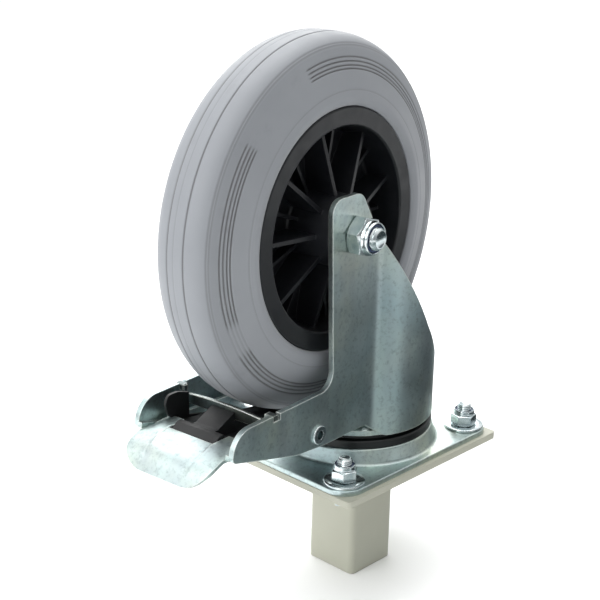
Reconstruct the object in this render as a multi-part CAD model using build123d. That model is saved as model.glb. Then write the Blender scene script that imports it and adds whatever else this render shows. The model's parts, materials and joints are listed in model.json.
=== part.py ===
from build123d import *
import os
from math import cos, radians, sin

# Swivel caster with a total brake, standing wheel-up on its square plug-in post.
# Millimetres. +Z is the swivel axis, the origin is on it at the adapter plate's
# shoulder, from which the post goes down. The fork trails towards -X.

# ---- driving dimensions -------------------------------------------------------
WHEEL_R = 100.0
TRAIL = 49.6                  # axle behind the swivel axis
AXLE_Z = 144.5
REST_SWIVEL = 5.27            # degrees that the fork stands turned on its plate

ADAPTER = (130.0, 110.0, 4.0)
POST_SIDE = 35.0
POST_WALL = 2.5
POST_LENGTH = 75.0
PLATE = (129.6, 105.0, 3.0)
PLATE_CORNER_R = 13.0
BOLT_SPACING = (105.0, 80.0)

DOME_TOP_Z = 16.2             # shoulder that carries the seal and the lower ball race
SKIRT_R = 44.65               # outer radius of the fork's bearing skirt
SKIRT_Z = 23.7                # lower edge of the skirt, and underside of the web
SHEET = 3.0                   # fork sheet
LEG_Y = 33.4                  # outer face of a fork leg
LEG_INNER_Y = LEG_Y - SHEET

LOWER_BALL = (4.0, 33.0, 19.95)   # ball radius, pitch radius, height of the row
UPPER_BALL = (3.0, 22.0, 29.4)
RACE_GAP = 0.3
LOWER_BALL_COUNT = 22
UPPER_BALL_COUNT = 18
LOCK_SLOTS = 24

PIVOT = (-77.7, 42.0)         # brake pivot, x and z
PIN_R = 3.9
RUNNING_GAP = 0.08

AXLE_R = 6.0
TUBE_R = 10.0                 # axle tube that the rollers run on
ROLLER = (2.1, 44.0, 14)      # radius, length, count
SLEEVE_R = 16.2               # outer radius of the bearing sleeve
ROLLER_PITCH_R = TUBE_R + ROLLER[0] + 0.3
SLEEVE_BORE_R = ROLLER_PITCH_R + ROLLER[0] + 0.3
RIM_RIBS = 9
RIM_RIB_PHASE = 18.8          # degrees, angle of the first rib above +X
HUB_Y = 29.2                  # half length of the wheel's hub

TOOTH_X = -36.5               # swivel-lock tooth on the brake lever
FLANGE_Y = 28.4               # inner edge of the fold along a brake arm's lower edge
NOTCH = (-112.2, 5.6)         # notch in each arm's top edge for the shoe's end: x, width

os.makedirs("parts", exist_ok=True)


# ---- helpers ------------------------------------------------------------------
def save(name, *shapes):
    """Write one node; several shapes are separate solids of that node."""
    solids = [solid for shape in shapes for solid in shape.solids()]
    export_step(solids[0] if len(solids) == 1 else Compound(children=solids), f"parts/{name}.step")


def swivelled(shape):
    """Turn a piece from the fork's own frame to where the fork stands at rest."""
    return shape.rotate(Axis.Z, REST_SWIVEL)


def ring(points, radii=None):
    """Revolve a closed (radius, height) outline about the swivel axis."""
    outline = FilletPolyline(*[(r, 0, z) for r, z in points], radius=radii or [0] * len(points), close=True)
    return revolve(make_face(outline), Axis.Z)


def wheel_ring(points, radii=None):
    """Revolve a closed (y, radius) outline about the wheel's axle, at the axle's place."""
    outline = FilletPolyline(*[(0, y, r) for y, r in points], radius=radii or [0] * len(points), close=True)
    return Pos(-TRAIL, 0, AXLE_Z) * revolve(make_face(outline), Axis.Y)


def side_plate(points, y_low, y_high, radii=None):
    """Extrude a closed (x, z) outline from y_low to y_high."""
    outline = FilletPolyline(*[(x, y_low, z) for x, z in points], radius=radii or [0] * len(points), close=True)
    return extrude(make_face(outline), y_high - y_low, dir=(0, 1, 0))


def y_cylinder(radius, x, z, y_low, y_high):
    """Cylinder along Y."""
    middle = (y_low + y_high) / 2
    return Pos(x, middle, z) * Rot(90, 0, 0) * Cylinder(radius, y_high - y_low)


def z_cylinder(radius, x, y, z_low, z_high):
    return Pos(x, y, (z_low + z_high) / 2) * Cylinder(radius, z_high - z_low)


def y_hexagon(flats, x, z, y_low, y_high):
    """Hexagonal prism along Y, with its corners chamfered by a cone at the outer ends."""
    middle = (y_low + y_high) / 2
    prism = extrude(RegularPolygon(flats / 2, 6, major_radius=False), (y_high - y_low) / 2, both=True)
    return Pos(x, middle, z) * Rot(90, 0, 0) * prism


def ball_row(ball, count, phase):
    radius, pitch, height = ball
    place = [radians(phase + 360 * i / count) for i in range(count)]
    return [Pos(pitch * cos(a), pitch * sin(a), height) * Sphere(radius) for a in place]


def race_groove(ball):
    radius, pitch, height = ball
    return Pos(0, 0, height) * Torus(pitch, radius + RACE_GAP)


# ---- root: adapter with its post, and the caster's top plate ----------------------
def bolt_places():
    return [(sx * BOLT_SPACING[0] / 2, sy * BOLT_SPACING[1] / 2) for sx in (-1, 1) for sy in (-1, 1)]


def adapter_plate():
    length, width, thickness = ADAPTER
    plate = extrude(RectangleRounded(length, width, 2.5), thickness)
    for x, y in bolt_places():
        plate -= z_cylinder(4.2, x, y, -1, thickness + 1)
    return plate


def post_tube():
    outer = RectangleRounded(POST_SIDE, POST_SIDE, 3.5)
    inner = RectangleRounded(POST_SIDE - 2 * POST_WALL, POST_SIDE - 2 * POST_WALL, 1.5)
    return extrude(outer - inner, -POST_LENGTH)


def weld_bead():
    """Fillet weld round the post, with a 2.4 mm leg."""
    leg = 2.4
    foot = extrude(RectangleRounded(POST_SIDE + 2 * leg, POST_SIDE + 2 * leg, 3.5 + leg), -leg)
    foot = chamfer(foot.faces().sort_by(Axis.Z)[0].edges(), leg - 0.05)
    return foot - extrude(RectangleRounded(POST_SIDE, POST_SIDE, 3.5), -leg * 2)


def caster_plate():
    """Pressed top plate with its domed bearing seat."""
    length, width, thickness = PLATE
    base = ADAPTER[2]
    top = base + thickness
    flat = Pos(0, 0, base) * extrude(RectangleRounded(length, width, PLATE_CORNER_R), thickness)
    flat = fillet(flat.faces().sort_by(Axis.Z)[-1].edges(), 0.8)
    for x, y in bolt_places():
        flat -= z_cylinder(5.5, x, y, base - 1, top + 1)
    flat -= z_cylinder(49.6, 0, 0, base - 1, top + 1)
    dome = ring(
        [(49.6, base), (49.6, top), (47.2, top), (45.0, DOME_TOP_Z), (8.3, DOME_TOP_Z),
         (8.3, DOME_TOP_Z - thickness), (42.2, DOME_TOP_Z - thickness), (44.4, base)],
        [0, 0, 2.2, 1.4, 0, 0, 1.4, 1.0],
    )
    return flat + dome - race_groove(LOWER_BALL)


def seal_ring():
    """Rubber seal on the plate's shoulder, with a lip that rises behind the skirt's edge."""
    low = DOME_TOP_Z
    lip = SKIRT_Z - 0.5
    return ring(
        [(38.6, low), (SKIRT_R, low), (SKIRT_R, low + 4.8), (41.4, low + 4.8), (40.2, lip), (38.6, lip)],
        [0, 0.8, 1.2, 0.8, 0.4, 0],
    )


def kingpin():
    """Riveted kingpin with a head under the plate and one on the lock ring."""
    shank_r = 8.2
    under = DOME_TOP_Z - PLATE[2]
    return ring(
        [(0, under - 4.5), (11.0, under - 4.5), (12.5, under), (shank_r, under), (shank_r, 35.1),
         (12.5, 35.1), (11.5, 38.4), (6.0, 39.6), (0, 39.6)],
    )


def lock_ring():
    """Upper race and toothed ring in one pressing, fixed on the kingpin."""
    cup = ring(
        [(8.2, 32.1), (26.0, 32.1), (26.0, 27.4), (40.0, 27.4), (40.0, 30.9), (29.0, 30.9), (29.0, 35.1), (8.2, 35.1)],
        [0, 0, 0, 0.6, 0.6, 1.0, 1.5, 0],
    )
    slot = Pos(37.5, 0, 29) * Box(8, 3.6, 6)
    for i in range(LOCK_SLOTS):
        cup -= slot.rotate(Axis.Z, REST_SWIVEL + i * 360 / LOCK_SLOTS)
    return cup - race_groove(UPPER_BALL)


def plate_fasteners():
    """M8 screws from below, washers, self-locking nuts and the nuts' nylon rings."""
    top = ADAPTER[2] + PLATE[2]
    screws, washers, nuts, inserts = [], [], [], []
    for i, (x, y) in enumerate(bolt_places()):
        head = Pos(x, y, -2.75) * extrude(RegularPolygon(6.5, 6, major_radius=False), 5.5 / 2, both=True)
        screws.append(head + z_cylinder(4.0, x, y, -1, 21.2))
        washers.append(z_cylinder(11.5, x, y, top, top + 1.6) - z_cylinder(4.2, x, y, top - 1, top + 3))
        nut_low = top + 1.6
        nut = Pos(x, y, nut_low) * Rot(0, 0, 17 * i) * extrude(RegularPolygon(6.5, 6, major_radius=False), 6.4)
        collar = z_cylinder(6.1, x, y, nut_low + 6.4, nut_low + 9.4)
        collar = fillet(collar.faces().sort_by(Axis.Z)[-1].edges(), 0.9)
        nut = nut + collar - z_cylinder(4.0, x, y, top, top + 20) - z_cylinder(4.9, x, y, nut_low + 6.8, top + 20)
        nuts.append(nut)
        inserts.append(z_cylinder(4.9, x, y, nut_low + 6.8, nut_low + 8.8) - z_cylinder(4.0, x, y, top, top + 20))
    return screws, washers, nuts, inserts


# ---- fork ---------------------------------------------------------------------
def fork_plan(inset):
    """Plan of the fork: two straight legs that flare out to the round bearing skirt."""
    legs = Pos(-90, 0) * Rectangle(140, 2 * (LEG_Y - inset))
    plan = legs + Circle(SKIRT_R - inset)
    corners = [v for v in plan.vertices() if -40 < v.X < -20]
    return fillet(corners, 9.0 + inset)


def fork_side():
    """Side outline of the pressing: leg, brake arm, skirt and the sloping back."""
    return side_plate(
        [(-145.5, 50.0), (-143.4, 64.8), (-66.0, 64.8), (-70.8, 166.0), (-46.0, 166.0), (5.0, 82.5), (24.0, 57.0),
         (47.0, 51.0), (47.0, SKIRT_Z), (-23.5, SKIRT_Z), (-36.0, 33.2), (-72.0, 34.2), (-96.0, 36.6)],
        -60, 60,
        [3.0, 13.0, 9.0, 8.0, 8.0, 30.0, 22.0, 0, 0, 5.0, 9.0, 60.0, 40.0],
    )


def arm_flange(side):
    """Lower edge of a brake arm, folded inward."""
    fold = side_plate(
        [(-145.3, 50.2), (-96.0, 36.6), (-86.0, 35.4), (-88.0, 38.4), (-96.0, 39.7), (-144.9, 53.3)],
        FLANGE_Y, LEG_INNER_Y + 0.5,
        [0, 30.0, 0, 0, 33.0, 0],
    )
    return fold if side > 0 else mirror(fold, Plane.XZ)


def fork():
    top = AXLE_Z + 60
    walls = extrude(fork_plan(0), top) - extrude(fork_plan(SHEET), top)
    web = Pos(0, 0, SKIRT_Z) * extrude(Circle(SKIRT_R - 1) & fork_plan(SHEET / 2), SHEET)
    body = (walls & fork_side()) + web
    for side in (-1, 1):
        body += arm_flange(side)
        notch_y = side * (LEG_Y - SHEET / 2)
        body -= Pos(NOTCH[0], notch_y, 64.8) * Box(NOTCH[1], SHEET + 2, 6.8)
    body -= z_cylinder(14.0, 0, 0, SKIRT_Z - 5, SKIRT_Z + 10)
    body -= y_cylinder(AXLE_R, -TRAIL, AXLE_Z, -50, 50)
    body -= y_cylinder(PIN_R, PIVOT[0], PIVOT[1], -50, 50)
    return body - race_groove(LOWER_BALL) - race_groove(UPPER_BALL)


def axle_bolt():
    shank = y_cylinder(AXLE_R, -TRAIL, AXLE_Z, -48.4, LEG_Y + 1)
    return shank + y_hexagon(19.0, -TRAIL, AXLE_Z, LEG_Y, LEG_Y + 7.5)


def axle_nut():
    hexagon = y_hexagon(19.0, -TRAIL, AXLE_Z, -LEG_Y - 8.6, -LEG_Y)
    collar = wheel_ring([(-LEG_Y - 8.6, 6.5), (-LEG_Y - 8.6, 9.0), (-LEG_Y - 12.2, 8.6), (-LEG_Y - 12.2, 7.4), (-LEG_Y - 9.4, 7.4), (-LEG_Y - 9.4, 6.5)])
    return (hexagon + collar) - y_cylinder(AXLE_R, -TRAIL, AXLE_Z, -60, 0)


def axle_nut_insert():
    return wheel_ring([(-LEG_Y - 9.4, AXLE_R), (-LEG_Y - 9.4, 7.4), (-LEG_Y - 11.7, 7.4), (-LEG_Y - 11.7, AXLE_R)])


def axle_tube():
    return wheel_ring([(-LEG_INNER_Y, AXLE_R), (-LEG_INNER_Y, TUBE_R), (LEG_INNER_Y, TUBE_R), (LEG_INNER_Y, AXLE_R)])


def dust_discs():
    """Plastic discs on the axle tube that close the hub's two ends."""
    low, high = HUB_Y + 0.3, LEG_INNER_Y
    return [wheel_ring([(s * low, TUBE_R), (s * low, 18.0), (s * high, 18.0), (s * high, TUBE_R)]) for s in (-1, 1)]


def brake_pin():
    """Tubular pivot rivet through both arms."""
    end = LEG_Y + 1.3
    x, z = PIVOT
    pin = y_cylinder(PIN_R, x, z, -end, end)
    for side in (-1, 1):
        head = y_cylinder(5.2, x, z, LEG_Y, end) if side > 0 else y_cylinder(5.2, x, z, -end, -LEG_Y)
        pin += head
    pin = fillet(pin.faces().sort_by(Axis.Y)[0].edges() + pin.faces().sort_by(Axis.Y)[-1].edges(), 0.6)
    return pin - y_cylinder(2.5, x, z, -end - 1, -end + 7) - y_cylinder(2.5, x, z, end - 7, end + 1)


# ---- brake ---------------------------------------------------------------------
def pedal():
    """Pressed pedal: a curved tread plate whose two cheeks run inward to the pivot."""
    half, thick = 28.0, 2.2
    sheet = side_plate(
        [(-128.0, 51.8), (-128.0, 54.0), (-142.0, 54.0), (-157.5, 47.4), (-162.6, 38.2), (-160.6, 37.2), (-155.9, 45.8), (-141.6, 51.8)],
        -half, half,
        [0, 0, 24.0, 16.0, 0, 0, 13.8, 21.8],
    )
    tread_plan = Pos(-145, 0) * RectangleRounded(37, 2 * half, 11)
    inner_plan = Pos(-137, 0) * Rectangle(22, 2 * half)
    sheet &= extrude(tread_plan + inner_plan, 100)
    sheet -= Pos(-130, 0, 53) * Box(20.0, 31.0, 8.0)
    x, z = PIVOT
    cheek = side_plate(
        [(-136.0, 51.0), (-136.0, 54.0), (-124.0, 54.0), (-84.0, 48.5), (x + 6.4, z + 6.0), (x + 6.4, z - 4.2), (-84.5, z - 4.2), (-100.0, 42.6), (-124.0, 48.6)],
        half - thick, half,
        [0, 0, 8.0, 20.0, 5.5, 4.0, 3.0, 12.0, 8.0],
    )
    body = sheet + cheek + mirror(cheek, Plane.XZ)
    return body - y_cylinder(PIN_R + RUNNING_GAP, x, z, -40, 40)


def brake_lever():
    """Lever between the pedal's cheeks, from the head at the pedal to the lock tooth."""
    x, z = PIVOT
    bar = side_plate(
        [(-131.0, 50.2), (-131.0, 53.6), (-114.4, 58.0), (-114.4, 53.0), (-110.0, 53.0), (-88.0, 48.6), (x, z + 5.2),
         (-70.0, 44.0), (-60.0, 40.6), (-34.6, 39.4), (-34.6, 31.4), (-38.4, 31.4), (-39.6, 35.0), (-60.0, 35.4),
         (x, z - 5.2), (-100.0, 41.0)],
        -9.0, 9.0,
        [1.5, 1.5, 0, 0, 2.0, 8.0, 4.0, 6.0, 8.0, 3.0, 0.6, 0.6, 1.0, 8.0, 5.0, 20.0],
    )
    for side in (-1, 1):
        bar -= Pos(-45.0, side * 7.3, 38) * Box(30, 12.0, 20)
    head = side_plate([(-135.0, 49.6), (-135.0, 53.4), (-125.6, 54.9), (-125.6, 50.8)], -14.6, 14.6, [1.2, 1.2, 1.2, 1.2])
    return bar + head - y_cylinder(PIN_R + RUNNING_GAP, x, z, -40, 40)


def brake_shoe():
    """Bent steel strap that the lever lifts against the tread; its ends rest in the arms' notches."""
    low, high = -114.4, -110.6
    strap = Pos((low + high) / 2 - 0.7, 0, 57.6) * Box(2.4, 58.0, 8.4)
    for side in (-1, 1):
        strap += Pos((low + high) / 2 - 0.7, side * 31.0, 63.6) * Box(2.4, 4.6, 4.0)
    return strap


# ---- wheel ---------------------------------------------------------------------
def tyre():
    half = [(0, 100.0), (8.0, 99.4), (13.2, 97.4), (16.2, 94.0), (18.4, 87.5), (21.8, 77.5), (24.0, 69.5), (23.4, 66.0), (22.0, 64.3)]
    right = half[1:]
    seat = [(19.6, 64.3), (19.6, 60.2), (-19.6, 60.2), (-19.6, 64.3)]
    left = [(-y, r) for y, r in reversed(right)]
    points = right + seat + left
    radii = [18.0, 6.0, 6.0, 20.0, 40.0, 4.0, 2.0, 0.6, 0, 0, 0, 0, 0.6, 2.0, 4.0, 40.0, 20.0, 6.0, 6.0, 18.0]
    return wheel_ring(points, radii)


def rim():
    """Moulded rim: barrel, centre web, hub and ribs on both faces."""
    barrel = wheel_ring(
        [(22.6, 54.2), (22.6, 64.1), (19.6, 64.1), (19.6, 60.2), (-19.6, 60.2), (-19.6, 64.1), (-22.6, 64.1),
         (-22.6, 54.2), (-3.0, 51.6), (-3.0, 20.0), (-HUB_Y, 18.6), (-HUB_Y, SLEEVE_R), (HUB_Y, SLEEVE_R),
         (HUB_Y, 18.6), (3.0, 20.0), (3.0, 51.6)],
        [1.0, 1.0, 0, 0, 0, 0, 1.0, 1.0, 2.0, 2.0, 0.5, 0, 0, 0.5, 2.0, 2.0],
    )
    rib = Pos(-TRAIL, 0, AXLE_Z) * extrude(
        make_face(Polyline((18.5, -21.5, -1.1), (53.5, -15.2, -1.1), (53.5, 0, -1.1), (18.5, 0, -1.1), close=True)), 2.2, dir=(0, 0, 1))
    low_rib = Pos(-TRAIL, 0, AXLE_Z) * extrude(
        make_face(Polyline((18.5, -9.0, -0.9), (53.0, -9.0, -0.9), (53.0, 0, -0.9), (18.5, 0, -0.9), close=True)), 1.8, dir=(0, 0, 1))
    axle = Axis((-TRAIL, 0, AXLE_Z), (0, 1, 0))
    body = barrel
    pitch = 360 / RIM_RIBS
    for i in range(RIM_RIBS):
        for piece, shift in ((rib, 0), (low_rib, pitch / 2)):
            near = piece.rotate(axle, -(RIM_RIB_PHASE + shift + i * pitch))
            far = mirror(piece, Plane.XZ).rotate(axle, -(RIM_RIB_PHASE + shift + pitch / 2 + i * pitch))
            body += [near, far]
    return body


def bearing_sleeve():
    return wheel_ring([(-26, SLEEVE_BORE_R), (-26, SLEEVE_R), (26, SLEEVE_R), (26, SLEEVE_BORE_R)])


def roller_places():
    count = ROLLER[2]
    angles = [radians(360 * i / count) for i in range(count)]
    return [(-TRAIL + ROLLER_PITCH_R * cos(a), AXLE_Z + ROLLER_PITCH_R * sin(a)) for a in angles]


def rollers():
    radius, length, _ = ROLLER
    return [y_cylinder(radius, x, z, -length / 2, length / 2) for x, z in roller_places()]


def roller_cage():
    radius, length, _ = ROLLER
    half = length / 2 + 3
    inner, outer = ROLLER_PITCH_R - 0.9, ROLLER_PITCH_R + 0.9
    cage = wheel_ring([(-half, inner), (-half, outer), (half, outer), (half, inner)])
    for x, z in roller_places():
        cage -= y_cylinder(radius + 0.05, x, z, -length / 2 - 0.1, length / 2 + 0.1)
    return cage


# ---- write the nodes ----------------------------------------------------------
save("adapter_plate", adapter_plate())
save("post_tube", post_tube())
save("weld_bead", weld_bead())
save("caster_plate", caster_plate())
save("seal_ring", seal_ring())
save("kingpin", kingpin())
save("lock_ring", lock_ring())
screws, washers, nuts, inserts = plate_fasteners()
save("plate_screws", *screws)
save("plate_washers", *washers)
save("plate_nuts", *nuts)
save("plate_nut_inserts", *inserts)
save("lower_balls", *[swivelled(b) for b in ball_row(LOWER_BALL, LOWER_BALL_COUNT, 4)])
save("upper_balls", *[swivelled(b) for b in ball_row(UPPER_BALL, UPPER_BALL_COUNT, 9)])

save("fork", swivelled(fork()))
save("axle_bolt", swivelled(axle_bolt()))
save("axle_nut", swivelled(axle_nut()))
save("axle_nut_insert", swivelled(axle_nut_insert()))
save("axle_tube", swivelled(axle_tube()))
save("dust_discs", *[swivelled(d) for d in dust_discs()])
save("brake_pin", swivelled(brake_pin()))

save("pedal", swivelled(pedal()))
save("brake_lever", swivelled(brake_lever()))
save("brake_shoe", swivelled(brake_shoe()))

save("tyre", swivelled(tyre()))
save("rim", swivelled(rim()))
save("bearing_sleeve", swivelled(bearing_sleeve()))
save("rollers", *[swivelled(r) for r in rollers()])
save("roller_cage", swivelled(roller_cage()))
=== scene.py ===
import bpy
import json
import math
from mathutils import Matrix, Vector


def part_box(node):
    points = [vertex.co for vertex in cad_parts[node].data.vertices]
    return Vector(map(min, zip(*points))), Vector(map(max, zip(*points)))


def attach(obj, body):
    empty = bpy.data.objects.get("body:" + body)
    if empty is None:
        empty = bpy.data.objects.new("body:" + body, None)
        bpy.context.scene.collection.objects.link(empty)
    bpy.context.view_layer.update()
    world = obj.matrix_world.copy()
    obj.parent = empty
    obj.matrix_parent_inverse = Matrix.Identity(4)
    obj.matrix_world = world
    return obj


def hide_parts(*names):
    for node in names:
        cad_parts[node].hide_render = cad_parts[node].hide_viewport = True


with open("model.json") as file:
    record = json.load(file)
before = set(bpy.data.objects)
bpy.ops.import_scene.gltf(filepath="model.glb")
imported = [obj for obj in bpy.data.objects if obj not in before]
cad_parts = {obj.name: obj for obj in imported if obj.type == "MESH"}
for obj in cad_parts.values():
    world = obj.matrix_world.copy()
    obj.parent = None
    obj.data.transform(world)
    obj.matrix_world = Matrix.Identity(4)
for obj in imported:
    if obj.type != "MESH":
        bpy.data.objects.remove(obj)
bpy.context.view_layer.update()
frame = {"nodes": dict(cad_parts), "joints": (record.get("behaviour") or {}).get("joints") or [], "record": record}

MM = 0.001
TAU = 2 * math.pi

# ---- places read from the frame --------------------------------------------------
JOINTS = {joint["name"]: joint for joint in frame["joints"]}
AXLE = Vector(JOINTS["wheel_spin"]["pos_m"])
AXLE_DIR = Vector(JOINTS["wheel_spin"]["axis"])
REST_SWIVEL = math.atan2(-AXLE_DIR.x, AXLE_DIR.y)
FORK_FRAME = Matrix.Rotation(REST_SWIVEL, 4, "Z")
WHEEL_FRAME = Matrix.Translation(AXLE) @ FORK_FRAME
FLOOR_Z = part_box("post_tube")[0].z
PIVOT = (-77.7, 42.0)             # brake pivot, x and z in the fork's axes, mm
LEG_FACE = 33.4                   # outer face of a fork leg, mm from the middle
BOLT_END = 48.4                   # end of the axle bolt, mm from the middle


# ---- camera ----------------------------------------------------------------------
def make_camera():
    """Camera at the fitted place, in the fork's axes, with the fitted turn and lens."""
    data = bpy.data.cameras.new("camera")
    data.sensor_width = 36.0
    data.lens = 81.92
    data.clip_start = 0.05
    camera = bpy.data.objects.new("camera", data)
    azimuth, elevation, roll = math.radians(-46.46), math.radians(19.45), math.radians(1.18)
    turn = Matrix.Rotation(azimuth, 4, "Z") @ Matrix.Rotation(math.pi / 2 - elevation, 4, "X")
    place = FORK_FRAME @ Vector((-0.59268, -0.42552, 0.34465))
    camera.matrix_world = Matrix.Translation(place) @ turn @ Matrix.Rotation(roll, 4, "Z")
    bpy.context.collection.objects.link(camera)
    bpy.context.scene.camera = camera


# ---- stage -----------------------------------------------------------------------
def area_light(name, place, aim, size, power):
    data = bpy.data.lights.new(name, "AREA")
    data.shape = "RECTANGLE"
    data.size, data.size_y = size
    data.energy = power
    light = bpy.data.objects.new(name, data)
    light.location = place
    light.rotation_mode = "QUATERNION"
    light.rotation_quaternion = (Vector(aim) - Vector(place)).to_track_quat("-Z", "Y")
    light.visible_camera = False
    bpy.context.collection.objects.link(light)


def make_floor():
    mesh = bpy.data.meshes.new("floor")
    half = 6.0
    corners = [(-half, -half), (half, -half), (half, half), (-half, half)]
    mesh.from_pydata([(x, y, FLOOR_Z - 0.0002) for x, y in corners], [], [(0, 1, 2, 3)])
    floor = bpy.data.objects.new("floor", mesh)
    bpy.context.collection.objects.link(floor)
    material = new_material("floor_paper")
    shader = material.node_tree.nodes["Principled BSDF"]
    shader.inputs["Base Color"].default_value = (0.93, 0.935, 0.94, 1)
    shader.inputs["Roughness"].default_value = 0.85
    shader.inputs["Specular IOR Level"].default_value = 0.15
    mesh.materials.append(material)


CARD_GREY = (0.60, 0.66, 0.66)    # a card's colour where its dark middle has faded
CARD_CORE, CARD_EDGE = 0.5, 0.9   # parts of its size where the fade starts and ends


def reflection_card(name, place, size, dark):
    """A round studio flag facing up, dark in its middle, that only shiny surfaces see."""
    mesh = bpy.data.meshes.new(name)
    corners = ((-1, -1), (1, -1), (1, 1), (-1, 1))
    mesh.from_pydata([(x * size, y * size, 0) for x, y in corners], [], [(0, 1, 2, 3)])
    card = bpy.data.objects.new(name, mesh)
    card.location = place
    card.rotation_mode = "QUATERNION"
    card.rotation_quaternion = Vector((0, 0, 1)).to_track_quat("Z", "Y")
    card.visible_camera = False
    card.visible_diffuse = False
    card.visible_shadow = False
    card.visible_transmission = False
    bpy.context.collection.objects.link(card)
    g = Graph(name)
    source = g.node("TexCoord")
    length = g.node("VectorMath", operation="LENGTH")
    g.link(source.outputs["Object"], length.inputs[0])
    fade = g.remap(length.outputs["Value"], size * CARD_CORE, size * CARD_EDGE, 0.0, 1.0)
    emission = g.node("Emission")
    g.link(g.mix(fade, dark, CARD_GREY), emission.inputs["Color"])
    clear = g.node("BsdfTransparent")
    blend = g.node("MixShader")
    g.link(g.remap(length.outputs["Value"], size * CARD_EDGE, size, 0.0, 1.0), blend.inputs[0])
    g.link(emission.outputs[0], blend.inputs[1])
    g.link(clear.outputs[0], blend.inputs[2])
    g.link(blend.outputs[0], g.tree.nodes["Material Output"].inputs["Surface"])
    mesh.materials.append(g.material)


def make_world():
    """White studio: brighter overhead than at the horizon."""
    world = bpy.data.worlds.new("studio")
    world.use_nodes = True
    tree = world.node_tree
    background = tree.nodes["Background"]
    source = tree.nodes.new("ShaderNodeTexCoord")
    split = tree.nodes.new("ShaderNodeSeparateXYZ")
    ramp = tree.nodes.new("ShaderNodeValToRGB")
    elements = ramp.color_ramp.elements
    elements[0].position, elements[0].color = 0.0, (0.42, 0.44, 0.45, 1)
    elements[1].position, elements[1].color = 0.75, (1.0, 1.0, 1.0, 1)
    middle = elements.new(0.3)
    middle.color = (0.62, 0.64, 0.65, 1)
    tree.links.new(source.outputs["Generated"], split.inputs[0])
    tree.links.new(split.outputs["Z"], ramp.inputs["Fac"])
    side = tree.nodes.new("ShaderNodeVectorMath")
    side.operation = "DOT_PRODUCT"
    side.inputs[1].default_value = (0.30, -0.90, -0.30)
    shade = tree.nodes.new("ShaderNodeMapRange")
    set_range(shade, -0.2, 0.75, 1.0, 0.30)
    dim = tree.nodes.new("ShaderNodeVectorMath")
    dim.operation = "SCALE"
    tree.links.new(source.outputs["Generated"], side.inputs[0])
    tree.links.new(side.outputs["Value"], shade.inputs["Value"])
    tree.links.new(ramp.outputs["Color"], dim.inputs[0])
    tree.links.new(shade.outputs["Result"], dim.inputs["Scale"])
    tree.links.new(dim.outputs["Vector"], background.inputs["Color"])
    background.inputs["Strength"].default_value = 1.45
    bpy.context.scene.world = world


def make_stage():
    make_floor()
    make_world()
    bpy.context.scene.view_settings.view_transform = "Standard"
    area_light("key", (-1.1, 0.1, 0.75), (-0.03, 0, 0.08), (0.9, 0.9), 9)
    area_light("top", (0.3, 0.4, 1.4), (0, 0, 0.1), (1.2, 1.2), 14)
    area_light("back", (0.9, 1.3, 0.7), (0, 0, 0.05), (1.4, 0.9), 9)
    reflection_card("flag_right", Vector((0.33, -0.25, FLOOR_Z + 0.002)), 0.46, (0.05, 0.062, 0.066))
    reflection_card("flag_front", Vector((-0.24, -0.48, FLOOR_Z + 0.004)), 0.36, (0.26, 0.31, 0.31))


# ---- material helpers --------------------------------------------------------------
def new_material(name):
    material = bpy.data.materials.new(name)
    material.use_nodes = True
    return material


def set_range(node, low, high, new_low, new_high):
    """Fills in a Map Range node."""
    for socket, number in zip(("From Min", "From Max", "To Min", "To Max"), (low, high, new_low, new_high)):
        node.inputs[socket].default_value = number


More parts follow.
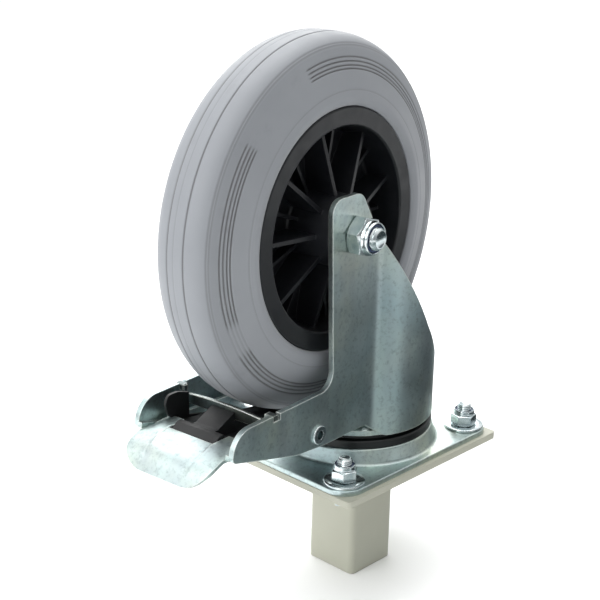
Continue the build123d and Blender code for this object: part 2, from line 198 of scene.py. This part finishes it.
class Graph:
    """Short hand for building a node tree round one Principled shader."""

    def __init__(self, name):
        self.material = new_material(name)
        self.tree = self.material.node_tree
        self.shader = self.tree.nodes["Principled BSDF"]

    def set(self, **values):
        for socket, value in values.items():
            self.shader.inputs[socket.replace("_", " ")].default_value = value

    def node(self, kind, **settings):
        node = self.tree.nodes.new("ShaderNode" + kind)
        for key, value in settings.items():
            setattr(node, key, value)
        return node

    def link(self, output, target):
        self.tree.links.new(output, target)

    def coords(self, scale=(1, 1, 1), rotation=(0, 0, 0)):
        source = self.node("TexCoord")
        mapping = self.node("Mapping")
        mapping.inputs["Scale"].default_value = scale
        mapping.inputs["Rotation"].default_value = rotation
        self.link(source.outputs["Object"], mapping.inputs["Vector"])
        return mapping.outputs["Vector"]

    def noise(self, scale, detail=3.0, rough=0.5, coords=None):
        texture = self.node("TexNoise")
        texture.inputs["Scale"].default_value = scale
        texture.inputs["Detail"].default_value = detail
        texture.inputs["Roughness"].default_value = rough
        self.link(coords or self.coords(), texture.inputs["Vector"])
        return texture.outputs["Fac"]

    def ramp(self, factor, stops):
        ramp = self.node("ValToRGB")
        elements = ramp.color_ramp.elements
        while len(elements) < len(stops):
            elements.new(0.5)
        for element, (place, colour) in zip(elements, stops):
            element.position = place
            element.color = (*colour, 1)
        self.link(factor, ramp.inputs["Fac"])
        return ramp.outputs["Color"]

    def mix(self, factor, a, b):
        mix = self.node("Mix", data_type="RGBA")
        for socket, value in ((0, factor), (6, a), (7, b)):
            if isinstance(value, (int, float)):
                mix.inputs[socket].default_value = value
            elif isinstance(value, tuple):
                mix.inputs[socket].default_value = (*value, 1)
            else:
                self.link(value, mix.inputs[socket])
        return mix.outputs[2]

    def math(self, operation, a, b=0.0):
        node = self.node("Math", operation=operation)
        for socket, value in ((0, a), (1, b)):
            if isinstance(value, (int, float)):
                node.inputs[socket].default_value = value
            else:
                self.link(value, node.inputs[socket])
        return node.outputs[0]

    def remap(self, value, low, high, new_low, new_high):
        node = self.node("MapRange")
        set_range(node, low, high, new_low, new_high)
        self.link(value, node.inputs["Value"])
        return node.outputs["Result"]

    def edges(self, radius=0.0008):
        """0 on flat ground, rising to 1 on convex and concave edges."""
        bevel = self.node("Bevel", samples=4)
        bevel.inputs["Radius"].default_value = radius
        geometry = self.node("NewGeometry")
        dot = self.node("VectorMath", operation="DOT_PRODUCT")
        self.link(bevel.outputs["Normal"], dot.inputs[0])
        self.link(geometry.outputs["Normal"], dot.inputs[1])
        return self.remap(dot.outputs["Value"], 0.995, 0.90, 0.0, 1.0)

    def bump(self, height, strength, distance, base=None):
        bump = self.node("Bump")
        bump.inputs["Strength"].default_value = strength
        bump.inputs["Distance"].default_value = distance
        self.link(height, bump.inputs["Height"])
        if base is not None:
            self.link(base, bump.inputs["Normal"])
        return bump.outputs["Normal"]

    def to(self, socket, output):
        self.link(output, self.shader.inputs[socket])


# ---- materials ---------------------------------------------------------------------
def zinc_sheet(name="zinc_sheet", shade_gain=1.0, rough_low=0.30, rough_high=0.40):
    """Zinc-plated pressed steel: satin, teal to straw, with faint drawing marks and painted highlights on the
    edges.
    """
    g = Graph(name)
    g.set(Metallic=1.0)

    # Every colour of the sheet is scaled by the gain; the brake shoe's low gain is painted shade.
    def tone(*colour):
        return tuple(min(1.0, c * shade_gain) for c in colour)

    cloud = g.noise(14.0, 4.0, 0.6)
    tint = g.ramp(cloud, [(0.32, tone(0.43, 0.55, 0.57)), (0.5, tone(0.51, 0.61, 0.59)),
                          (0.70, tone(0.60, 0.65, 0.53))])
    streaks = g.noise(60.0, 3.0, 0.6, g.coords((1.0, 1.0, 0.18)))
    tint = g.mix(g.remap(streaks, 0.4, 0.7, 0.0, 0.50), tint, tone(0.34, 0.37, 0.41))
    mottle = g.noise(420.0, 3.0, 0.75)
    tint = g.mix(g.remap(mottle, 0.50, 0.72, 0.0, 0.65), tint, tone(0.25, 0.30, 0.31))
    # Edges are mixed towards a pale colour: a painted highlight along every edge, and a little rougher there.
    edge_highlight_mask = g.edges(0.0006)
    g.to("Base Color", g.mix(edge_highlight_mask, tint, (0.90, 0.93, 0.88)))
    rough = g.remap(g.noise(45.0, 4.0, 0.65), 0.3, 0.7, rough_low, rough_high)
    g.to("Roughness", g.math("ADD", rough, g.math("MULTIPLY", edge_highlight_mask, 0.15)))
    bevel = g.node("Bevel", samples=4)
    bevel.inputs["Radius"].default_value = 0.0007
    grain = g.noise(1100.0, 3.0, 0.65)
    scratches = g.noise(500.0, 2.0, 0.7, g.coords((1.0, 1.0, 0.04), (0.25, 0.1, 0)))
    fine = g.bump(grain, 0.12, 0.0001, bevel.outputs["Normal"])
    g.to("Normal", g.bump(scratches, 0.08, 0.0002, fine))
    return g.material


def zinc_hardware():
    """Bright zinc on turned and headed steel."""
    g = Graph("zinc_hardware")
    g.set(Metallic=1.0)
    cloud = g.noise(160.0, 3.0, 0.6)
    g.to("Base Color", g.ramp(cloud, [(0.35, (0.50, 0.58, 0.60)), (0.65, (0.72, 0.77, 0.77))]))
    g.to("Roughness", g.remap(g.noise(400.0, 3.0, 0.6), 0.3, 0.7, 0.12, 0.24))
    bevel = g.node("Bevel", samples=4)
    bevel.inputs["Radius"].default_value = 0.0003
    g.to("Normal", g.bump(g.noise(1500.0, 2.0), 0.05, 0.0001, bevel.outputs["Normal"]))
    return g.material


def bearing_steel():
    g = Graph("bearing_steel")
    g.set(Metallic=1.0)
    g.to("Base Color", g.ramp(g.noise(120.0, 3.0), [(0.3, (0.45, 0.45, 0.46)), (0.7, (0.60, 0.60, 0.61))]))
    g.to("Roughness", g.remap(g.noise(300.0, 2.0), 0.3, 0.7, 0.12, 0.22))
    return g.material


def grey_paint():
    """Pebble-grey wet paint, thick enough to soften the edges, with painted highlights along them."""
    g = Graph("grey_paint")
    cloud = g.noise(22.0, 3.0, 0.55)
    tint = g.ramp(cloud, [(0.3, (0.385, 0.385, 0.315)), (0.7, (0.425, 0.425, 0.350))])
    # Edges are mixed towards a paler grey: a painted highlight along the edges.
    edge_highlight_mask = g.edges(0.0010)
    g.to("Base Color", g.mix(edge_highlight_mask, tint, (0.50, 0.50, 0.41)))
    g.to("Roughness", g.remap(g.noise(60.0, 3.0), 0.3, 0.7, 0.36, 0.46))
    bevel = g.node("Bevel", samples=4)
    bevel.inputs["Radius"].default_value = 0.0012
    peel = g.noise(420.0, 2.0, 0.5)
    g.to("Normal", g.bump(peel, 0.10, 0.0002, bevel.outputs["Normal"]))
    return g.material


def plastic(name, colour, rough, grain_scale, grain_strength):
    g = Graph(name)
    dark = tuple(c * 0.75 for c in colour)
    # Edges are mixed halfway towards a lighter tint: a painted highlight along the edges.
    edge_highlight_mask = g.edges(0.0006)
    light = tuple(min(1, c * 1.9 + 0.01) for c in colour)
    tint = g.ramp(g.noise(55.0, 3.0), [(0.3, dark), (0.7, colour)])
    g.to("Base Color", g.mix(g.math("MULTIPLY", edge_highlight_mask, 0.5), tint, light))
    g.to("Roughness", g.remap(g.noise(120.0, 3.0), 0.3, 0.7, rough - 0.06, rough + 0.06))
    bevel = g.node("Bevel", samples=4)
    bevel.inputs["Radius"].default_value = 0.0005
    g.to("Normal", g.bump(g.noise(grain_scale, 2.0), grain_strength, 0.0002, bevel.outputs["Normal"]))
    return g.material


def tyre_rubber():
    """Grey non-marking rubber with a faint bloom and random dark smudges, and painted shade in the mould's
    grooves.
    """
    g = Graph("tyre_rubber")
    cloud = g.noise(9.0, 4.0, 0.6)
    tint = g.ramp(cloud, [(0.3, (0.195, 0.205, 0.222)), (0.7, (0.235, 0.247, 0.264))])
    marks = g.noise(38.0, 5.0, 0.7)
    tint = g.mix(g.remap(marks, 0.60, 0.74, 0.0, 0.30), tint, (0.15, 0.152, 0.165))
    # Darkened by groove depth: painted shade in the mould's grooves.
    attribute = g.node("Attribute", attribute_name="groove")
    painted_groove_shade = g.remap(attribute.outputs["Fac"], 0.05, 0.55, 0.0, 0.85)
    g.to("Base Color", g.mix(painted_groove_shade, tint, (0.055, 0.052, 0.052)))
    g.to("Roughness", g.remap(g.noise(70.0, 3.0), 0.3, 0.7, 0.50, 0.62))
    grain = g.noise(1300.0, 2.0, 0.6)
    g.to("Normal", g.bump(grain, 0.10, 0.0002))
    g.set(Sheen_Weight=0.15, Sheen_Roughness=0.5)
    return g.material


MATERIALS = {}


def make_materials():
    MATERIALS.update(
        zinc_steel=zinc_sheet(),
        zinc_pedal=zinc_sheet("zinc_pedal", 0.98, 0.38, 0.46),
        # The brake shoe is the zinc sheet darkened to 0.30: painted shade and a painted dark reflection on the
        # strap.
        shoe_steel=zinc_sheet("shoe_steel", 0.30, 0.30, 0.40),
        zinc_hardware=zinc_hardware(),
        bearing_steel=bearing_steel(),
        painted_steel=grey_paint(),
        tyre_rubber=tyre_rubber(),
        rim_plastic=plastic("rim_plastic", (0.0075, 0.0085, 0.011), 0.40, 700.0, 0.10),
        black_plastic=plastic("black_plastic", (0.0040, 0.0045, 0.0050), 0.55, 900.0, 0.15),
        seal_rubber=plastic("seal_rubber", (0.004, 0.005, 0.005), 0.38, 800.0, 0.08),
        nylon=plastic("nylon", (0.03, 0.05, 0.11), 0.35, 900.0, 0.05),
    )


def dress(piece, slot):
    """Gives a piece one slot's material."""
    piece.data.materials.clear()
    piece.data.materials.append(MATERIALS[slot])


def dress_cad_nodes():
    for entry in frame["record"]["subparts"]:
        dress(frame["nodes"][entry["node"]], entry["material_slot"])


# ---- mesh helpers ------------------------------------------------------------------
def add_piece(name, vertices, faces, place, body, slot, smooth_degrees=35.0):
    """Makes a mesh piece from millimetres in a local frame, and rides it on a body."""
    mesh = bpy.data.meshes.new(name)
    mesh.from_pydata([place @ (Vector(v) * MM) for v in vertices], [], faces)
    mesh.validate()
    piece = bpy.data.objects.new(name, mesh)
    bpy.context.collection.objects.link(piece)
    mesh.shade_smooth()
    mesh.set_sharp_from_angle(angle=math.radians(smooth_degrees))
    dress(piece, slot)
    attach(piece, body)
    return piece


def grid_faces(rows, columns, close_rows=False, close_columns=True):
    """Quads of a grid of vertices, row by row."""
    faces = []
    for i in range(rows if close_rows else rows - 1):
        for j in range(columns if close_columns else columns - 1):
            a, b = i * columns + j, i * columns + (j + 1) % columns
            k = (i + 1) % rows * columns
            faces.append((a, b, k + (j + 1) % columns, k + j))
    return faces


def rounded(points, radii, steps=5):
    """A closed outline with its corners rounded."""
    out = []
    count = len(points)
    for i, (point, radius) in enumerate(zip(points, radii)):
        here = Vector(point)
        before, after = Vector(points[i - 1]), Vector(points[(i + 1) % count])
        u, v = (before - here).normalized(), (after - here).normalized()
        half = u.angle(v) / 2
        if radius <= 0 or abs(half - math.pi / 2) < 1e-3:
            out.append(tuple(here))
            continue
        reach = min(radius / math.tan(half), (before - here).length / 2, (after - here).length / 2)
        start, end = here + u * reach, here + v * reach
        for k in range(steps + 1):
            t = k / steps
            out.append(tuple(start * (1 - t) ** 2 + here * 2 * t * (1 - t) + end * t * t))
    return out


# ---- tyre --------------------------------------------------------------------------
TYRE_SIDE = [(5.0, 99.85), (8.0, 99.35), (11.0, 98.4), (13.4, 97.1), (15.2, 95.6), (16.3, 94.3), (16.9, 92.6),
             (17.6, 90.4), (18.2, 88.2), (19.2, 85.0), (20.3, 81.6), (21.4, 78.0), (22.6, 74.2), (23.6, 70.8),
             (24.0, 69.0), (23.9, 67.4), (23.4, 65.6), (22.3, 64.4)]
SIDE_GROOVES = (88.4, 86.3, 84.3, 82.6)


def groove(distance, half_width, depth):
    """Depth of a round-bottomed groove at a distance from its middle."""
    t = abs(distance) / half_width
    return depth * math.cos(t * math.pi / 2) ** 2 if t < 1 else 0.0


def side_curve():
    """The tyre's half outline, from the tread's middle to the rim, as dense (y, radius) points."""
    knots = [(0.0, 100.0)] + TYRE_SIDE
    dense = []
    for i in range(len(knots) - 1):
        p0, p1, p2, p3 = (Vector(knots[max(0, min(len(knots) - 1, k))]) for k in (i - 1, i, i + 1, i + 2))
        steps = max(2, int((p2 - p1).length / 0.42))
        for k in range(steps):
            t = k / steps
            point = 0.5 * ((2 * p1) + (p2 - p0) * t + (2 * p0 - 5 * p1 + 4 * p2 - p3) * t * t
                           + (3 * p1 - p0 - 3 * p2 + p3) * t ** 3)
            dense.append((point.x, point.y))
    dense.append(knots[-1])
    return dense


LABEL = (107.0, 140.0)        # degrees on the near sidewall where the rings stop
SCUFF = (203.0, 213.0)


def between(degrees, span, blur):
    """1 inside a span of degrees, falling to 0 over the blur outside it."""
    low, high = span
    return max(0.0, min(1.0, (degrees - low) / blur + 1, (high - degrees) / blur + 1))


def tyre_relief(y, radius, angle):
    """How deep the mould's lines cut in at a point of the tyre's surface."""
    depth = groove(abs(y) - 5.2, 0.7, 0.55) + groove(y - 1.2, 0.5, 0.25)
    if radius > 91:
        depth += groove(abs(y) - 15.7, 0.5, 0.28) + groove(abs(y) - 16.4, 0.4, 0.2)
        return depth
    degrees = math.degrees(angle) % 360
    fade = 1.0
    if y < 0:
        fade = 1 - max(between(degrees, LABEL, 1.5), 0.7 * between(degrees, SCUFF, 3.0))
    depth += fade * sum(groove(radius - at, 0.66, 0.6) for at in SIDE_GROOVES)
    return depth + groove(radius - 72.5, 0.6, 0.2)


def make_tyre():
    """Solid rubber tyre with its tread lines and the band of rings on each sidewall."""
    half = side_curve()
    seat = [(19.6, 64.35), (19.6, 60.2)]
    outline = half + seat + [(-y, r) for y, r in reversed(half[1:] + seat)]
    segments = 360
    vertices, depths = [], []
    for i, (y, r) in enumerate(outline):
        before, after = outline[i - 1], outline[(i + 1) % len(outline)]
        along = Vector((after[0] - before[0], after[1] - before[1])).normalized()
        outward = Vector((-along.y, along.x))
        inner = r < 64.4 and abs(y) < 20
        for j in range(segments):
            angle = TAU * j / segments
            depth = 0.0 if inner else tyre_relief(y, r, angle)
            yy, rr = y - outward.x * depth, r - outward.y * depth
            vertices.append((rr * math.cos(angle), yy, rr * math.sin(angle)))
            depths.append(depth)
    faces = grid_faces(len(outline), segments, close_rows=True)
    tyre = add_piece("tyre_body", vertices, faces, WHEEL_FRAME, "wheel", "tyre_rubber", 60)
    # Groove depths, which the tyre's material turns into painted shade in the grooves.
    painted_groove_shade = tyre.data.attributes.new("groove", "FLOAT", "POINT")
    painted_groove_shade.data.foreach_set("value", depths)
    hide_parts("tyre")


# ---- fasteners -----------------------------------------------------------------------
def hexagon(flats, angle):
    """Radius of a hexagon's side at an angle."""
    sixth = (angle + math.pi / 6) % (math.pi / 3) - math.pi / 6
    return flats / 2 / math.cos(sixth)


def locking_nut(flats, height, collar, bore, place):
    """Self-locking nut on z = 0: hexagon with both ends chamfered, and a rolled collar."""
    corner = flats / 2 / math.cos(math.pi / 6)
    cut = (corner - flats * 0.47) * 0.6
    rim = flats * 0.462
    inside = flats * 0.395
    rows = [(0, bore, 0), (0, flats * 0.47, 1)]
    rows += [(cut * t / 5, flats * 0.47 + (corner - flats * 0.47) * t / 5, 1) for t in range(1, 6)]
    rows += [(height - cut + cut * t / 5, corner - (corner - flats * 0.46) * t / 5, 1) for t in range(6)]
    rows += [(height + 0.15, rim + 0.15, 0), (height + 0.5, rim, 0), (height + collar * 0.55, rim * 0.985, 0)]
    for t in range(1, 7):
        turn = t / 6 * math.pi * 0.8
        rows.append((height + collar * 0.55 + collar * 0.45 * math.sin(turn),
                     rim * 0.985 - (rim * 0.985 - inside) * (1 - math.cos(turn)) / 1.85, 0))
    rows += [(height + collar * 0.5, inside, 0), (height, inside, 0), (height, bore, 0)]
    segments = 96
    vertices = []
    for along, limit, hexed in rows:
        for j in range(segments):
            angle = TAU * j / segments
            r = min(limit, hexagon(flats, angle)) if hexed else limit
            vertices.append((r * math.cos(angle), r * math.sin(angle), along))
    return [vertices, grid_faces(len(rows), segments, close_rows=True), place]


def threaded_end(radius, low, high, pitch, tip=1.0):
    """Screw thread along Z with a chamfered, slightly dished end: vertices and faces."""
    segments, per_pitch = 48, 8
    rows = int((high - low) / pitch * per_pitch)
    depth = pitch * 0.34
    end = radius - tip
    rings = []
    for i in range(rows + 1):
        z = low + (high - low) * i / rows
        cone = end + (high - z)
        waves = [abs((z / pitch - j / segments) % 1.0 * 2 - 1) for j in range(segments)]
        cuts = [depth * min(1.0, max(0.0, wave * 1.25 - 0.1)) for wave in waves]
        rings.append([(min(radius - cut, cone), z) for cut in cuts])
    for scale, drop in ((0.93, 0.0), (0.80, 0.25), (0.5, 0.6), (0.15, 0.8)):
        rings.append([(end * scale, high - drop)] * segments)
    vertices = [(r * math.cos(TAU * j / segments), r * math.sin(TAU * j / segments), z)
                for ring in rings for j, (r, z) in enumerate(ring)]
    faces = grid_faces(len(rings), segments)
    faces.append(tuple((len(rings) - 1) * segments + j for j in range(segments)))
    return vertices, faces


def joined(name, parts, body, slot, stands_for, smooth_degrees=35.0):
    """Joins (vertices, faces, place) parts into one piece that stands for a CAD node."""
    vertices, faces = [], []
    for part_vertices, part_faces, place in parts:
        start = len(vertices)
        vertices += [tuple((place @ (Vector(v) * MM)) / MM) for v in part_vertices]
        faces += [tuple(start + k for k in face) for face in part_faces]
    piece = add_piece(name, vertices, faces, Matrix(), body, slot, smooth_degrees)
    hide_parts(stands_for)
    return piece


def lathe_part(outline, place, segments=64):
    """Revolves a closed (z, radius) outline about Z."""
    vertices = [(r * math.cos(TAU * j / segments), r * math.sin(TAU * j / segments), z)
                for z, r in outline for j in range(segments)]
    return vertices, grid_faces(len(outline), segments, close_rows=True), place


def bolt_middles():
    """Middles of the four plate screws, from the washers' places in the frame."""
    low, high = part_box("plate_washers")
    reach = 11.5 * MM
    return [(x, y) for x in (low.x + reach, high.x - reach) for y in (low.y + reach, high.y - reach)]


def make_plate_fasteners():
    washer_low, washer_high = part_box("plate_washers")
    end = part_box("plate_screws")[1].z / MM
    head_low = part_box("plate_screws")[0].z / MM
    nuts, rings, washers, screws = [], [], [], []
    for i, (x, y) in enumerate(bolt_middles()):
        seat = Matrix.Translation((x, y, washer_high.z)) @ Matrix.Rotation(math.radians(17 * i + 8), 4, "Z")
        nuts.append(locking_nut(13.0, 6.4, 3.0, 4.05, seat))
        rings.append(lathe_part([(6.6, 3.95), (6.6, 5.05), (8.5, 5.05), (8.9, 4.6), (8.7, 3.95)], seat))
        base = Matrix.Translation((x, y, washer_low.z))
        washers.append(lathe_part([(0, 4.3), (0, 11.1), (0.25, 11.42), (0.6, 11.5), (1.1, 11.5), (1.45, 11.3),
                                   (1.6, 10.9), (1.6, 4.6), (1.4, 4.3)], base, 96))
        column = Matrix.Translation((x, y, 0))
        thread, thread_faces = threaded_end(4.0, 0.0, end, 1.25, 0.9)
        screws.append((thread, thread_faces, column))
        head = [(0, 4.0), (0, 6.1), (-0.6, 6.5), (head_low + 0.5, 6.5), (head_low, 6.1), (head_low, 0.2)]
        screws.append(lathe_part(head, column, 6))
    joined("plate_nut_set", nuts, "mount", "zinc_hardware", "plate_nuts")
    joined("plate_nut_rings", rings, "mount", "nylon", "plate_nut_inserts")
    joined("plate_washer_set", washers, "mount", "zinc_hardware", "plate_washers")
    joined("plate_screw_set", screws, "mount", "zinc_hardware", "plate_screws")


def make_axle_ends():
    """M12 nut with its nylon ring, and the bolt with its thread and its chamfered head."""
    leg = LEG_FACE
    near = WHEEL_FRAME @ Matrix.Rotation(math.pi / 2, 4, "X")
    seat = near @ Matrix.Translation((0, 0, leg * MM)) @ Matrix.Rotation(math.radians(14), 4, "Z")
    joined("axle_nut_body", [locking_nut(19.0, 8.6, 3.6, 6.05, seat)], "fork", "zinc_hardware", "axle_nut")
    ring = lathe_part([(8.9, 5.9), (8.9, 7.4), (11.1, 7.4), (11.7, 6.8), (11.4, 5.9)], seat)
    joined("axle_nut_ring", [ring], "fork", "nylon", "axle_nut_insert")
    thread, faces = threaded_end(6.0, leg - 3, BOLT_END, 1.75, 1.2)
    shank = lathe_part([(-leg - 1, 0.2), (-leg - 1, 5.95), (leg - 2.5, 5.95), (leg - 2.5, 0.2)], near)
    corner = 19.0 / 2 / math.cos(math.pi / 6)
    rows = [(0, 0.3, 0), (0, 9.2, 0), (0.4, corner, 1), (6.6, corner, 1), (7.5, 9.0, 0), (7.5, 7.4, 0),
            (7.2, 7.0, 0), (7.2, 0.3, 0)]
    vertices = []
    for along, limit, hexed in rows:
        for j in range(96):
            angle = TAU * j / 96
            r = min(limit, hexagon(19.0, angle)) if hexed else limit
            vertices.append((r * math.cos(angle), r * math.sin(angle), -leg - along))
    head = (vertices, grid_faces(len(rows), 96, close_rows=True), near)
    joined("axle_bolt_body", [(thread, faces, near), shank, head], "fork", "zinc_hardware", "axle_bolt")


# ---- brake -------------------------------------------------------------------------
def plate_part(points, low, high, radii=None, steps=5):
    """Extrudes an (x, z) outline along Y, in the fork's own axes."""
    outline = rounded(points, radii or [0] * len(points), steps)
    count = len(outline)
    vertices = [(x, y, z) for y in (low, high) for x, z in outline]
    faces = [(j, (j + 1) % count, count + (j + 1) % count, count + j) for j in range(count)]
    faces += [tuple(range(count)), tuple(range(2 * count - 1, count - 1, -1))]
    return vertices, faces, FORK_FRAME


def ease(value, low, high):
    """0 below low and 1 above high, with a smooth rise between."""
    t = max(0.0, min(1.0, (value - low) / (high - low)))
    return t * t * (3 - 2 * t)


PEDAL_HALF = 28.0
PEDAL_SHEET = 2.2
PEDAL_TOP = 53.2


def pedal_sheet():
    """Curved tread plate with rounded front corners, a slot for the lever's head and two turned-down ears."""
    line = rounded([(-127.0, PEDAL_TOP), (-142.0, PEDAL_TOP), (-157.4, 46.8), (-162.4, 38.0), (-100.0, 0.0)],
                   [0, 26.0, 16.0, 0, 0], 12)[:-1]
    reach = [0.0]
    for a, b in zip(line, line[1:]):
        reach.append(reach[-1] + math.dist(a, b))
    total, corner, steps = reach[-1], 15.0, 36

    def at(distance):
        k = max(i for i in range(len(reach) - 1) if reach[i] <= distance + 1e-9)
        t = (distance - reach[k]) / (reach[k + 1] - reach[k])
        a, b = Vector(line[k]), Vector(line[k + 1])
        along = (b - a).normalized()
        return a + (b - a) * t, Vector((along.y, -along.x))

    outer = [28, 27.9, 27.5, 27, 26.3, 25.5, 24.5, 23.5, 22.5, 21, 19.5, 18, 16.5, 15.3, 14.9, 13]
    columns = [-y for y in outer] + list(range(-11, 12, 2)) + outer[::-1]
    rows = []
    for y in columns:
        side = abs(y)
        first = 12.4 if side < 15 else 0.6
        d = max(0.0, side - (PEDAL_HALF - corner))
        last = total - (corner - math.sqrt(max(0.0, corner ** 2 - d ** 2)))
        ring_top, ring_low = [], []
        for k in range(steps + 1):
            point, up = at(first + (last - first) * k / steps)
            if up.y < 0:
                up = -up
            drop = 3.4 * max(0.0, (side - 20.0) / 8.0) ** 2 * ease(point.x, -149.0, -136.0)
            drop += 0.5 * max(0.0, (side - 25.0) / 3.0) ** 2
            ring_top.append((point.x, y, point.y - drop))
            under = point - up * PEDAL_SHEET
            ring_low.append((under.x, y * (1 - 0.006), under.y - drop))
        rows.append(ring_top + ring_low[::-1])
    vertices = [v for ring in rows for v in ring]
    size = len(rows[0])
    faces = grid_faces(len(rows), size)
    faces += [tuple(range(size)), tuple(range(len(rows) * size - 1, (len(rows) - 1) * size - 1, -1))]
    return vertices, faces, FORK_FRAME


def make_pedal():
    """Pedal: the tread plate and the two cheeks that carry it on the pivot."""
    x, z = PIVOT
    outline = [(-136.0, 47.6), (-136.0, 50.4), (-124.0, 51.2), (-84.0, 48.5), (x + 6.4, z + 6.0),
               (x + 6.4, z - 4.2), (-84.5, z - 4.2), (-100.0, 42.6), (-124.0, 46.6)]
    radii = [0, 0, 8.0, 20.0, 5.5, 4.0, 3.0, 12.0, 8.0]
    cheeks = [plate_part(outline, low, high, radii) for low, high in ((-27.9, -25.7), (25.7, 27.9))]
    joined("pedal_body", [pedal_sheet()] + cheeks, "brake", "zinc_pedal", "pedal")


def make_lever():
    """Black lever: T head in the pedal's slot, neck, cup with a low near side, and the lock tooth."""
    x, z = PIVOT
    upper = [(-131.0, 50.6), (-131.0, 54.0), (-127.0, 54.2), (-114.5, 59.6), (-114.5, 54.5), (-110.0, 53.0),
             (-88.0, 48.6), (x, z + 5.2), (-70.0, 44.0), (-60.0, 40.6)]
    tip = [(-34.6, 39.4), (-34.6, 31.4), (-38.4, 31.4), (-39.6, 35.0)]
    under = [(-60.0, 35.4), (x, z - 5.2), (-100.0, 41.0)]
    neck = plate_part(upper + [(-50.0, 40.1), (-50.0, 35.2)] + under, -7.6, 7.6,
                      [0, 0, 3, 0.6, 0, 2.0, 8.0, 4.0, 6.0, 4.0, 0, 0, 1.0, 5.0, 20.0])
    tooth = plate_part([(-51.0, 40.1)] + tip + [(-51.0, 35.2)], -1.3, 1.3, [0, 3.0, 0.6, 0.6, 1.0, 0])
    head = plate_part([(-138.2, 49.6), (-138.2, 51.8), (-133.4, 54.8), (-130.2, 54.8), (-130.2, 50.4)],
                      -14.4, 14.4, [0.8, 0.8, 1.2, 0.8, 0.8])
    floor = plate_part([(-131.6, 48.4), (-131.6, 50.6), (-100.0, 46.4), (-100.0, 44.2)], -23.6, 23.6)
    far = [(-123.5, 48.0), (-131.8, 54.6), (-133.8, 61.0), (-132.0, 65.9), (-124.7, 65.7), (-116.4, 62.9),
           (-116.4, 50.0), (-98.0, 45.5), (-100.0, 44.2)]
    near = [(-123.5, 48.0), (-131.8, 53.6), (-131.0, 56.6), (-100.0, 52.0), (-100.0, 44.2)]
    cup = [plate_part(far, 22.2, 23.8, [5.0, 5.0, 4.0, 5.0, 4.0, 0, 0, 0, 0]),
           plate_part(near, -23.8, -22.2, [5.0, 3.0, 3.0, 0, 0])]
    joined("lever_body", [neck, tooth, head, floor] + cup, "brake", "black_plastic", "brake_lever")


STRAP_FRONT, STRAP_BACK = -114.3, -112.4
STRAP_HALF = 28.6
STRAP_LOW, STRAP_TOP = 55.4, 61.9


def make_strap():
    """Strap under the tread: an arched blade with an end in each arm's notch."""
    count = 25
    vertices = []
    for k in range(count):
        y = -STRAP_HALF + 2 * STRAP_HALF * k / (count - 1)
        top = STRAP_TOP - 1.6 * (y / STRAP_HALF) ** 2
        profile = [(STRAP_FRONT, STRAP_LOW), (STRAP_FRONT, top - 0.3), (STRAP_FRONT + 0.3, top),
                   (STRAP_BACK - 0.3, top), (STRAP_BACK, top - 0.3), (STRAP_BACK, STRAP_LOW)]
        vertices += [(x, y, z) for x, z in profile]
    last = len(vertices) - 1
    faces = grid_faces(count, 6) + [tuple(range(6)), tuple(range(last, last - 6, -1))]
    parts = [(vertices, faces, FORK_FRAME)]
    tab = [(-114.85, 61.55), (-114.85, 64.75), (-110.9, 64.75), (-110.9, 61.55)]
    riser = [(-114.6, 56.0), (-114.6, 64.4), (-112.2, 64.4), (-112.2, 56.0)]
    for side in (-1, 1):
        low, high = sorted((side * 28.0, side * 33.3))
        parts.append(plate_part(tab, low, high, [0.2, 0.5, 0.5, 0.2], 3))
        low, high = sorted((side * 27.2, side * 28.6))
        parts.append(plate_part(riser, low, high))
    joined("shoe_body", parts, "brake", "shoe_steel", "brake_shoe")


# ---- build -------------------------------------------------------------------------
make_materials()
make_camera()
make_stage()
dress_cad_nodes()
make_tyre()
make_plate_fasteners()
make_axle_ends()
make_pedal()
make_lever()
make_strap()
